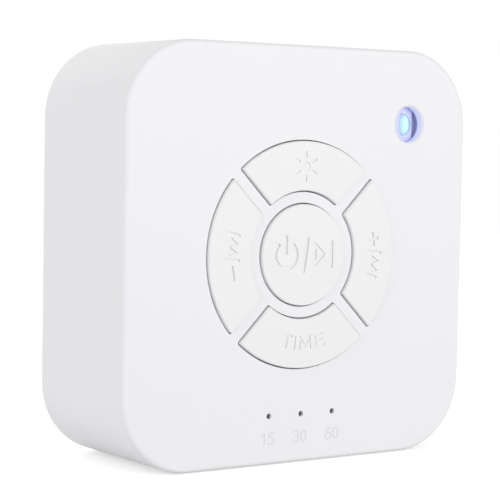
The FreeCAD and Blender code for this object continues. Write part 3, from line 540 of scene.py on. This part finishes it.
@dataclass(frozen=True)
class Label:
    """Marks cut into a face, in millimetres from the label's own middle."""

    centre: Point
    reading: Reading
    width: float
    strokes: tuple[tuple[Point, ...], ...]
    triangles: tuple[tuple[Point, float, float], ...] = ()
    discs: tuple[tuple[Point, float], ...] = ()
    bow: float = 0.0
    disc_sides: int = 32
    bar_sides: int = 16

    def turn(self, along: float = 0.0) -> Matrix:
        """Turn from the label to the face, seen from the front.

        Args:
            along: Place along a reading line that is bent round a middle `bow` above it.

        Returns:
            The turn at that place.
        """
        bend = along / self.bow if self.bow else 0.0
        return Matrix.Rotation(math.radians(self.reading.value) - bend, 4, "Y")

    def place(self, point: Point, middle: float) -> Vector:
        """Point of the label on the face.

        Args:
            point: Point in the label.
            middle: Height of the face's middle, in millimetres.

        Returns:
            The point in metres, at depth 0.
        """
        if self.bow:
            hub = self.turn() @ Vector((0, 0, self.bow))
            turned = hub + self.turn(point[0]) @ Vector((0, 0, point[1] - self.bow))
        else:
            turned = self.turn() @ Vector((point[0], 0, point[1]))
        return (turned + Vector((self.centre[0], 0, self.centre[1] + middle))) * MM

    def tool(self, shape: bmesh.types.BMesh, middle: float, near: float, far: float) -> None:
        """Add the solid that cuts this label.

        Args:
            shape: Mesh that takes the solid.
            middle: Height of the face's middle, in millimetres.
            near: Depth where the solid starts, before the face, in metres.
            far: Depth where it ends.
        """
        for stroke in self.strokes:
            points = [self.place(point, middle) for point in stroke]
            for start, end in zip(points, points[1:]):
                self.bar(shape, start, end, near, far)
        facing = Matrix.Rotation(QUARTER, 4, "X")
        for tip, length, height in self.triangles:
            reach = length * 2 / 3
            size = Matrix.Diagonal((reach * MM, height / math.sqrt(3) * MM, 1, 1))
            form = self.turn(tip[0]) @ facing @ size
            self.prism(shape, self.place((tip[0] - reach, tip[1]), middle), form, 3, near, far)
        for centre, radius in self.discs:
            size = Matrix.Diagonal((radius * MM, radius * MM, 1, 1))
            self.prism(shape, self.place(centre, middle), facing @ size, self.disc_sides, near, far)

    def prism(self, shape: bmesh.types.BMesh, place: Vector, form: Matrix, sides: int, near: float,
              far: float) -> None:
        """Add an upright prism through the face.

        Args:
            shape: Mesh that takes it.
            place: Its middle at depth 0.
            form: Turn and size of its outline.
            sides: Number of its sides.
            near: Depth where it starts.
            far: Depth where it ends.
        """
        lift = Matrix.Translation(place + Vector((0, near, 0)))
        ring = bmesh.ops.create_circle(shape, cap_ends=True, segments=sides, radius=1.0, matrix=lift @ form)
        self.deepen(shape, ring["verts"], far - near)

    def bar(self, shape: bmesh.types.BMesh, start: Vector, end: Vector, near: float, far: float) -> None:
        """Add one round-ended bar.

        Args:
            shape: Mesh that takes it.
            start: Middle of its first end, at depth 0.
            end: Middle of its other end.
            near: Depth where it starts.
            far: Depth where it ends.
        """
        run = end - start
        lean = math.atan2(run.z, run.x)
        form = Matrix.Rotation(-lean, 4, "Y") @ Matrix.Rotation(QUARTER, 4, "X")
        form = form @ Matrix.Rotation(math.pi / self.bar_sides, 4, "Z")
        lift = Matrix.Translation(start + Vector((0, near, 0)))
        ring = bmesh.ops.create_circle(shape, cap_ends=True, segments=self.bar_sides,
                                       radius=self.width / 2 * MM, matrix=lift @ form)
        front = [v for v in ring["verts"] if (v.co - start).dot(run) > 0]
        bmesh.ops.translate(shape, verts=front, vec=run)
        self.deepen(shape, ring["verts"], far - near)

    def deepen(self, shape: bmesh.types.BMesh, outline: list[bmesh.types.BMVert], depth: float) -> None:
        """Turn a flat outline into a solid.

        Args:
            shape: Mesh that holds it.
            outline: Corners of its only face.
            depth: Thickness of the solid.
        """
        faces = list({face for corner in outline for face in corner.link_faces})
        grown = bmesh.ops.extrude_face_region(shape, geom=faces, use_keep_orig=False)
        moved = [part for part in grown["geom"] if isinstance(part, bmesh.types.BMVert)]
        bmesh.ops.translate(shape, verts=moved, vec=(0, depth, 0))


@dataclass
class Engraver:
    """Cutter that sinks labels into a copy of a packed moulding."""

    proud: float = 0.4 * MM
    sharp: float = 30.0
    merge: float = 0.001 * MM

    def copy(self, node: str) -> bpy.types.Mesh:
        """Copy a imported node's mesh, with its corners merged.

        Args:
            node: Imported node.

        Returns:
            The copy.
        """
        shape = bmesh.new()
        shape.from_mesh(frame["nodes"][node].data)
        bmesh.ops.remove_doubles(shape, verts=shape.verts, dist=self.merge)
        return mesh_of(node + "_copy", shape)

    def cut(self, node: str, name: str, labels: list[Label], depth: float) -> bpy.types.Object:
        """Engrave a copy of a node.

        Args:
            node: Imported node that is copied.
            name: Name of the new piece.
            labels: Labels to cut into its foremost face.
            depth: Depth of the cut, in metres.

        Returns:
            The engraved piece, without a material.
        """
        low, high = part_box("front_housing")
        middle = (low[2] + high[2]) / 2 / MM
        face = front_of(node)
        shape = bmesh.new()
        for label in labels:
            label.tool(shape, middle, face - self.proud, face + depth)
        bmesh.ops.recalc_face_normals(shape, faces=shape.faces)
        tool_mesh = mesh_of(name + "_tool", shape)
        plain = self.copy(node)
        piece = linked(name, plain)
        tool = linked(name + "_tool", tool_mesh)
        groove = piece.modifiers.new("groove", "BOOLEAN")
        groove.operation, groove.solver, groove.use_self, groove.object = "DIFFERENCE", "EXACT", True, tool
        graph = bpy.context.evaluated_depsgraph_get()
        result = bpy.data.meshes.new_from_object(piece.evaluated_get(graph))
        piece.modifiers.clear()
        bpy.data.objects.remove(tool)
        bpy.data.meshes.remove(tool_mesh)
        if len(result.polygons) > len(plain.polygons):
            piece.data = result
            bpy.data.meshes.remove(plain)
        else:
            log.warning("%s: the labels could not be cut, the plain moulding stays", name)
        piece.data.materials.clear()
        smooth_by_angle(piece, self.sharp)
        log.info("%s: %d faces after engraving", name, len(piece.data.polygons))
        return piece


@dataclass(frozen=True)
class Lamp:
    """Soft square lamp with white light: its place and side in metres, its power in watts."""

    name: str
    place: Point3
    size: float
    power: float

    def build(self, aim: Vector) -> None:
        """Add the lamp, turned towards a point."""
        light = bpy.data.lights.new(self.name, "AREA")
        light.shape = "SQUARE"
        light.size = self.size
        light.energy = self.power
        holder = linked(self.name, light)
        holder.location = self.place
        holder.rotation_euler = (aim - Vector(self.place)).to_track_quat("-Z", "Y").to_euler()


@dataclass
class Studio:
    """Camera at the photograph's angle, soft lamps, pale floor and white surroundings."""

    azimuth: float = -34.938
    elevation: float = 3.454
    roll: float = 1.067
    distance: float = 380.354
    focal_pixels: float = 1800.717
    target: Point3 = (-14.257, -17.5, 46.294)
    clip: Point = (0.01, 20.0)
    floor_half: float = 0.7
    floor_drop: float = 0.2 * MM
    floor_shade: Colour = (0.8, 0.8, 0.805)
    floor_white: float = 0.5
    air_light: float = 0.55
    aim: Point3 = (0.0, 0.0, 45 * MM)
    lamps: tuple[Lamp, ...] = (
        Lamp("key_lamp", (0.35, -0.85, 0.16), 0.6, 4.15),
        Lamp("fill_lamp", (-0.95, -0.15, 0.25), 0.8, 3.5),
        Lamp("back_lamp", (0.1, 0.9, 0.4), 0.8, 2.0),
    )

    def camera(self) -> None:
        """Place the camera that the scene renders from."""
        turn, tilt, roll = (math.radians(v) for v in (self.azimuth, self.elevation, self.roll))
        back = Vector((math.sin(turn) * math.cos(tilt), -math.cos(turn) * math.cos(tilt), math.sin(tilt)))
        level = Vector((math.cos(turn), math.sin(turn), 0))
        upright = back.cross(level)
        right = level * math.cos(roll) + upright * math.sin(roll)
        up = upright * math.cos(roll) - level * math.sin(roll)
        lens = bpy.data.cameras.new("camera")
        lens.sensor_width = SENSOR_WIDTH
        lens.lens = self.focal_pixels / IMAGE_SIDE * SENSOR_WIDTH
        lens.clip_start, lens.clip_end = self.clip
        camera = linked("camera", lens)
        place = (Vector(self.target) + back * self.distance) * MM
        camera.matrix_world = Matrix.Translation(place) @ Matrix((right, up, back)).transposed().to_4x4()
        bpy.context.scene.camera = camera

    def white_where_seen(self, made: bpy.types.Material, shader: bpy.types.Node) -> None:
        """Let a surface look white to the camera, mirrors and glass, and stay plain to the light.

        Args:
            made: Material to change.
            shader: Its plain shader, which keeps the bounce light.
        """
        nodes, links = made.node_tree.nodes, made.node_tree.links
        path = nodes.new("ShaderNodeLightPath")
        seen = path.outputs["Is Camera Ray"]
        for ray in ("Is Glossy Ray", "Is Transmission Ray"):
            either = nodes.new("ShaderNodeMath")
            either.operation = "MAXIMUM"
            links.new(seen, either.inputs[0])
            links.new(path.outputs[ray], either.inputs[1])
            seen = either.outputs["Value"]
        white = nodes.new("ShaderNodeEmission")
        white.inputs["Strength"].default_value = self.floor_white
        both = nodes.new("ShaderNodeAddShader")
        mix = nodes.new("ShaderNodeMixShader")
        links.new(shader.outputs["BSDF"], both.inputs[0])
        links.new(white.outputs["Emission"], both.inputs[1])
        links.new(seen, mix.inputs["Fac"])
        links.new(shader.outputs["BSDF"], mix.inputs[1])
        links.new(both.outputs["Shader"], mix.inputs[2])
        links.new(mix.outputs["Shader"], nodes["Material Output"].inputs["Surface"])

    def floor(self) -> None:
        """Lay the plain pale floor under the machine."""
        shape = bmesh.new()
        bmesh.ops.create_grid(shape, x_segments=1, y_segments=1, size=self.floor_half)
        ground = linked("floor", mesh_of("floor", shape))
        finish = Plastic("floor_white", self.floor_shade, roughness=0.9, specular=0.1).material()
        self.white_where_seen(finish, finish.node_tree.nodes["Principled BSDF"])
        ground.data.materials.append(finish)
        ground.location = (0, 0, -self.floor_drop)

    def surroundings(self) -> None:
        """Light the air softly, and show it white behind the machine."""
        world = bpy.data.worlds.new("surroundings")
        bpy.context.scene.world = world
        world.use_nodes = True
        nodes, links = world.node_tree.nodes, world.node_tree.links
        soft, seen = nodes["Background"], nodes.new("ShaderNodeBackground")
        for shader, strength in ((soft, self.air_light), (seen, 1.0)):
            shader.inputs["Color"].default_value = (1, 1, 1, 1)
            shader.inputs["Strength"].default_value = strength
        path = nodes.new("ShaderNodeLightPath")
        mix = nodes.new("ShaderNodeMixShader")
        links.new(path.outputs["Is Camera Ray"], mix.inputs["Fac"])
        links.new(soft.outputs["Background"], mix.inputs[1])
        links.new(seen.outputs["Background"], mix.inputs[2])
        links.new(mix.outputs["Shader"], nodes["World Output"].inputs["Surface"])

    def build(self) -> None:
        """Set up the whole studio."""
        self.camera()
        self.floor()
        self.surroundings()
        for lamp in self.lamps:
            lamp.build(Vector(self.aim))
        bpy.context.scene.view_settings.view_transform = "Standard"


@dataclass
class Casing:
    """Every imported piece, dressed in the finish of its material slot."""

    # Shift of the edge of the lens's painted light from the lens's middle.
    lens_turn: float = -0.6 * MM
    dark_guide: str = "timer_light_guide"

    def finishes(self) -> dict[str, Finish]:
        """Finish of every material slot."""
        lens_middle = sum(corner[0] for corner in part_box("light_lens")) / 2
        return {
            "casing_plastic": Plastic("casing_white", linear(241, 241, 243)),
            "key_plastic": Plastic("key_white", linear(241, 241, 242)),
            # The lens's light is painted: a glow, and a colour that is pale on its left and lavender on its
            # right.
            "clear_plastic": Glow("window_clear_painted_light", linear(246, 242, 240), linear(204, 206, 246),
                                  linear(200, 203, 250), 0.09, turn_x=lens_middle + self.lens_turn),
            # This slate is painted shade: it darkens the deep end of the light window's wall, and it also
            # dresses the seal foam pieces.
            "seal_foam": Foam("seal_slate_and_painted_shade", linear(174, 178, 218), cell=0.3 * MM, depth=0.02 * MM),
            "black_plastic": Plastic("black_moulding", (0.02, 0.02, 0.022), roughness=0.5),
            "chip_plastic": Plastic("chip_black", (0.015, 0.015, 0.017), roughness=0.6,
                                    grain_height=0.04 * MM),
            "board_laminate": Laminate("board_green", (0.01, 0.09, 0.035), (0.03, 0.16, 0.06)),
            "rubber": Plastic("foot_rubber", linear(176, 176, 180), roughness=0.75, specular=0.25,
                              mottling=0.03, grain_height=0.03 * MM, grain_scale=1500.0),
            "steel": Metal("plated_steel", (0.55, 0.55, 0.57)),
            "socket_steel": Metal("socket_nickel", (0.62, 0.62, 0.64), roughness=0.24),
            "ferrite": Plastic("magnet_grey", (0.03, 0.03, 0.035), roughness=0.55, grain_height=0.03 * MM),
            "paper": Foam("cone_paper", (0.02, 0.02, 0.022), cell=0.8 * MM, depth=0.05 * MM),
            "foam": Foam("gasket_foam", (0.03, 0.03, 0.03)),
            "cloth": Weave("dust_cloth", (0.03, 0.03, 0.034)),
            "surround_rubber": Plastic("surround_black", (0.012, 0.012, 0.012), roughness=0.5),
            "copper_coil": Winding("coil_copper", (0.55, 0.22, 0.08)),
            "battery_foil": Metal("cell_foil", (0.5, 0.51, 0.53), roughness=0.36, marks=(1.0, 1.0, 3.0)),
            "wire_insulation": Plastic("wire_red", (0.35, 0.02, 0.015), roughness=0.35),
            "connector_plastic": Plastic("connector_cream", (0.72, 0.69, 0.6), roughness=0.45),
            "diode_plastic": Plastic("diode_cream", (0.75, 0.74, 0.6), roughness=0.3),
            "capacitor_can": Metal("can_aluminium", (0.5, 0.52, 0.55)),
        }

    def build(self) -> dict[str, bpy.types.Material]:
        """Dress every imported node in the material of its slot, and the timer's light guide darker.

        Returns:
            The materials by slot.
        """
        made = {slot: finish.material() for slot, finish in self.finishes().items()}
        slots = {part["node"]: part["material_slot"] for part in frame["record"]["subparts"]}
        smoke = Plastic("pin_smoke", linear(92, 92, 97), roughness=0.4).material()
        for name, node in frame["nodes"].items():
            for place in node.material_slots:
                place.material = smoke if name == self.dark_guide else made[slots[name]]
        log.info("dressed %d nodes", len(frame["nodes"]))
        return made


@dataclass
class FrontHousing:
    """Tub with the front face: the timer's numbers with painted shade on their floors, and the wall of the
    light window with painted light and painted shade.
    """

    number_centre: float = -39.45
    number_places: tuple[tuple[str, float], ...] = (("15", -8.6), ("30", -0.1), ("60", 8.6))
    number_stroke: float = 0.42
    number_depth: float = 0.09 * MM
    figure_room: float = 1.75
    figure_size: float = 1.12
    floor_slack: float = 0.01 * MM
    window_reach: float = 4.04 * MM
    lit_depth: float = 0.7 * MM
    shade_depth: float = 2.0 * MM

    def labels(self) -> list[Label]:
        """Numbers of minutes under the timer lights."""
        made = []
        for number, centre in self.number_places:
            left = -self.figure_room * len(number) / 2
            strokes = [[(x * self.figure_size, y * self.figure_size) for x, y in stroke]
                       for place, figure in enumerate(number)
                       for stroke in digit(figure, left + place * self.figure_room)]
            made.append(Label((centre, self.number_centre), Reading.LEVEL, self.number_stroke,
                              tuple(tuple(stroke) for stroke in strokes)))
        return made

    def shade_number_floors(self, piece: bpy.types.Object, painted_floor_shade: bpy.types.Material) -> None:
        """Dress the floors of the cut numbers in a faint grey, as painted shade in the grooves.

        Args:
            piece: Engraved housing.
            painted_floor_shade: Finish of the floors, a painted shade.
        """
        piece.data.materials.append(painted_floor_shade)
        number = len(piece.data.materials) - 1
        floor = front_of("front_housing") + self.number_depth
        for face in piece.data.polygons:
            if abs(face.center.y - floor) < self.floor_slack and abs(face.normal.y) > LEVEL_SHARE:
                face.material_index = number

    def light_wall(self, piece: bpy.types.Object, painted_light: bpy.types.Material, shade: bpy.types.Material) -> None:
        """Dress the wall of the light window: white, then a painted glow of the diode's light, then a painted
        shade.

        Args:
            piece: Engraved housing.
            painted_light: Painted light of the wall's middle.
            shade: Painted shade of its deep end.
        """
        x, z = window_middle()
        front = front_of("front_housing")

        def on_wall(face: bmesh.types.BMFace) -> bool:
            """Tell whether a face is part of the window's wall."""
            reach = max(math.hypot(corner.co.x - x, corner.co.z - z) for corner in face.verts)
            return reach < self.window_reach and abs(face.normal.y) < FLAT_ANGLE

        first = len(piece.data.materials)
        shape = bmesh.new()
        shape.from_mesh(piece.data)
        # The wall's middle takes the painted light, and its deep end the painted shade.
        for number, (depth, finish) in enumerate(((self.lit_depth, painted_light), (self.shade_depth, shade)), first):
            piece.data.materials.append(finish)
            wall = [face for face in shape.faces if on_wall(face)]
            edges = {edge for face in wall for edge in face.edges}
            corners = {corner for face in wall for corner in face.verts}
            bmesh.ops.bisect_plane(shape, geom=[*wall, *edges, *corners], plane_co=(0, front + depth, 0),
                                   plane_no=(0, 1, 0))
            for face in shape.faces:
                if on_wall(face) and face.calc_center_median().y > front + depth:
                    face.material_index = number
        shape.to_mesh(piece.data)
        shape.free()

    def build(self, made: dict[str, bpy.types.Material], engraver: Engraver) -> None:
        """Engrave the housing and dress it.

        Args:
            made: Materials by slot.
            engraver: Cutter for the numbers.
        """
        piece = engraver.cut("front_housing", "housing_with_numbers", self.labels(), self.number_depth)
        piece.data.materials.append(made["casing_plastic"])
        # The diode's light on the window's wall is painted: a pale blue glow.
        painted_light = Glow("window_wall_painted_light", linear(240, 243, 254), linear(232, 237, 255), linear(206, 216, 255), 0.18)
        # The wall's deep end takes the seal foam's slate as painted shade.
        self.light_wall(piece, painted_light.material(), made["seal_foam"])
        # The numbers' floors are a faint grey: painted shade in their grooves.
        self.shade_number_floors(piece, Plastic("number_floor_painted_shade", linear(231, 231, 234)).material())
        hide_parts("front_housing")
        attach(piece, "casing")


@dataclass
class KeyGroup:
    """Round middle key and the four ring keys, with their marks."""

    ring_radius: float = 19.05
    depth: float = 0.32 * MM
    fine_depth: float = 0.22 * MM

    def power(self) -> Label:
        """Marks of the middle key: power, a slash, a play triangle and a bar."""
        strokes = (
            tuple(arc((-5.3, 0.05), (2.87, 2.87), 133, 407, 28)),
            ((-5.3, 0.5), (-5.3, 3.85)),
            ((0.48, 3.4), (-0.6, -3.5)),
            ((2.45, 2.2), (4.75, 0.05), (2.45, -2.1), (2.45, 2.2)),
            ((6.95, -2.6), (6.95, 2.6)),
        )
        return Label((0.0, 0.0), Reading.LEVEL, 0.88, strokes)

    def sun(self) -> Label:
        """Marks of the top key: a disc with six rays."""
        rays = []
        for angle in (90, 270, 30, 150, 210, 330):
            turn = math.radians(angle)
            rays.append(tuple((r * math.cos(turn), r * math.sin(turn)) for r in (2.0, 3.05)))
        return Label((-0.38, self.ring_radius), Reading.LEVEL, 0.44, tuple(rays), discs=(((0.0, 0.0), 1.1),))

    def word(self) -> Label:
        """Marks of the bottom key: the plain word TIME."""
        strokes = (
            ((-5.6, 1.3), (-3.1, 1.3)),
            ((-4.35, 1.3), (-4.35, -1.3)),
            ((-2.15, 1.3), (-2.15, -1.3)),
            ((-0.8, -1.3), (-0.8, 1.3), (0.55, -0.75), (1.9, 1.3), (1.9, -1.3)),
            ((5.55, 1.3), (3.35, 1.3), (3.35, -1.3), (5.55, -1.3)),
            ((3.35, 0.05), (5.2, 0.05)),
        )
        return Label((-0.4, -self.ring_radius), Reading.LEVEL, 0.5, strokes, bow=self.ring_radius)

    def back(self) -> Label:
        """Marks of the left key: a bar and two triangles, a slash and a minus."""
        strokes = (((-4.75, -1.3), (-4.75, 1.3)), ((0.45, -1.8), (0.98, 1.8)), ((2.15, 0.0), (4.9, 0.0)))
        triangles = (((-4.15, 0.0), -1.85, 2.5), ((-2.2, 0.0), -1.85, 2.5))
        return Label((-19.3, 0.0), Reading.DOWNWARD, 0.6, strokes, triangles, bow=self.ring_radius)

    def forward(self) -> Label:
        """Marks of the right key: a plus, a slash, and two triangles and a bar."""
        strokes = (((-4.5, 0.0), (-1.9, 0.0)), ((-3.2, -1.2), (-3.2, 1.2)), ((-0.6, -1.8), (-0.07, 1.8)),
                   ((5.1, -1.3), (5.1, 1.3)))
        triangles = (((2.75, 0.0), 1.85, 2.5), ((4.7, 0.0), 1.85, 2.5))
        return Label((18.75, 0.0), Reading.DOWNWARD, 0.6, strokes, triangles, bow=-self.ring_radius)

    def build(self, made: dict[str, bpy.types.Material], engraver: Engraver) -> None:
        """Engrave and dress the five keys.

        Args:
            made: Materials by slot.
            engraver: Cutter for the marks.
        """
        marks = {"power": (self.power(), self.depth), "light": (self.sun(), self.fine_depth),
                 "timer": (self.word(), self.fine_depth), "previous": (self.back(), self.depth),
                 "next": (self.forward(), self.depth)}
        for name, (label, depth) in marks.items():
            node = f"{name}_key"
            piece = engraver.cut(node, f"{name}_key_marked", [label], depth)
            piece.data.materials.append(made["key_plastic"])
            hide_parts(node)
            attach(piece, node)


@dataclass
class LightWindow:
    """Bulge of the window piece over the diode, bright with a painted glow of the diode's light."""

    half_width: float = 1.3 * MM
    half_height: float = 2.5 * MM
    rise: float = 0.85 * MM
    pocket_depth: float = 3.4 * MM
    shift: float = 1.2 * MM
    sharp: float = 40.0

    def build(self) -> None:
        """Make the bulge as half of a flattened ball on the floor of the pocket."""
        x, z = window_middle()
        x += self.shift
        y = front_of("front_housing") + self.pocket_depth
        shape = bmesh.new()
        bmesh.ops.create_uvsphere(shape, u_segments=48, v_segments=24, radius=1.0)
        bmesh.ops.bisect_plane(shape, geom=[*shape.verts, *shape.edges, *shape.faces], plane_co=(0, 0, 0),
                               plane_no=(0, 1, 0), clear_outer=True)
        rim = [edge for edge in shape.edges if edge.is_boundary]
        bmesh.ops.holes_fill(shape, edges=rim, sides=0)
        bmesh.ops.scale(shape, verts=shape.verts, vec=(self.half_width, self.rise, self.half_height))
        bmesh.ops.translate(shape, verts=shape.verts, vec=(x, y, z))
        bmesh.ops.recalc_face_normals(shape, faces=shape.faces)
        # The diode's light in the bulge is painted: a glow, and a faint change of colour across it.
        painted_glow = Glow("window_glow", linear(176, 234, 224), linear(190, 232, 226), linear(226, 236, 244), 0.29,
                    turn_x=x, roughness=0.3)
        piece = add_piece("window_bulge", shape, painted_glow.material(), "casing")
        smooth_by_angle(piece, self.sharp)


@dataclass
class RearGrille:
    """Dust cloth drawn flat behind the holes of the rear cover."""

    rings: int = 12
    sides: int = 72
    sag: float = 0.08 * MM
    thickness: float = 0.2 * MM
    sharp: float = 60.0

    def build(self, made: dict[str, bpy.types.Material]) -> None:
        """Make the cloth as a thin disc of rings that sags a little towards the speaker.

        Args:
            made: Materials by slot.
        """
        low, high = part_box("grille_cloth")
        radius, back = (high[0] - low[0]) / 2, high[1]
        x, z = (low[0] + high[0]) / 2, (low[2] + high[2]) / 2
        shape = bmesh.new()
        place = Matrix.Translation((x, back, z)) @ Matrix.Rotation(QUARTER, 4, "X")
        bmesh.ops.create_circle(shape, cap_ends=True, segments=self.sides, radius=radius, matrix=place)
        for _ in range(self.rings - 1):
            inner = [face for face in shape.faces if len(face.verts) > 4]
            bmesh.ops.inset_region(shape, faces=inner, thickness=radius / self.rings, use_boundary=True,
                                   use_even_offset=True)
        for corner in shape.verts:
            reach = math.hypot(corner.co.x - x, corner.co.z - z) / radius
            corner.co.y -= self.sag * max(0.0, 1 - reach * reach)
        bmesh.ops.recalc_face_normals(shape, faces=shape.faces)
        cloth = add_piece("cloth_behind_grille", shape, made["cloth"], "casing")
        wall = cloth.modifiers.new("thickness", "SOLIDIFY")
        wall.thickness, wall.offset = self.thickness, 1.0 if cloth.data.polygons[0].normal.y < 0 else -1.0
        smooth_by_angle(cloth, self.sharp)
        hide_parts("grille_cloth")


def main() -> None:
    """Build the studio and the machine."""
    logging.basicConfig(level=logging.INFO, format="%(message)s")
    Studio().build()
    made = Casing().build()
    engraver = Engraver()
    FrontHousing().build(made, engraver)
    KeyGroup().build(made, engraver)
    LightWindow().build()
    RearGrille().build(made)


if __name__ == "__main__":
    main()
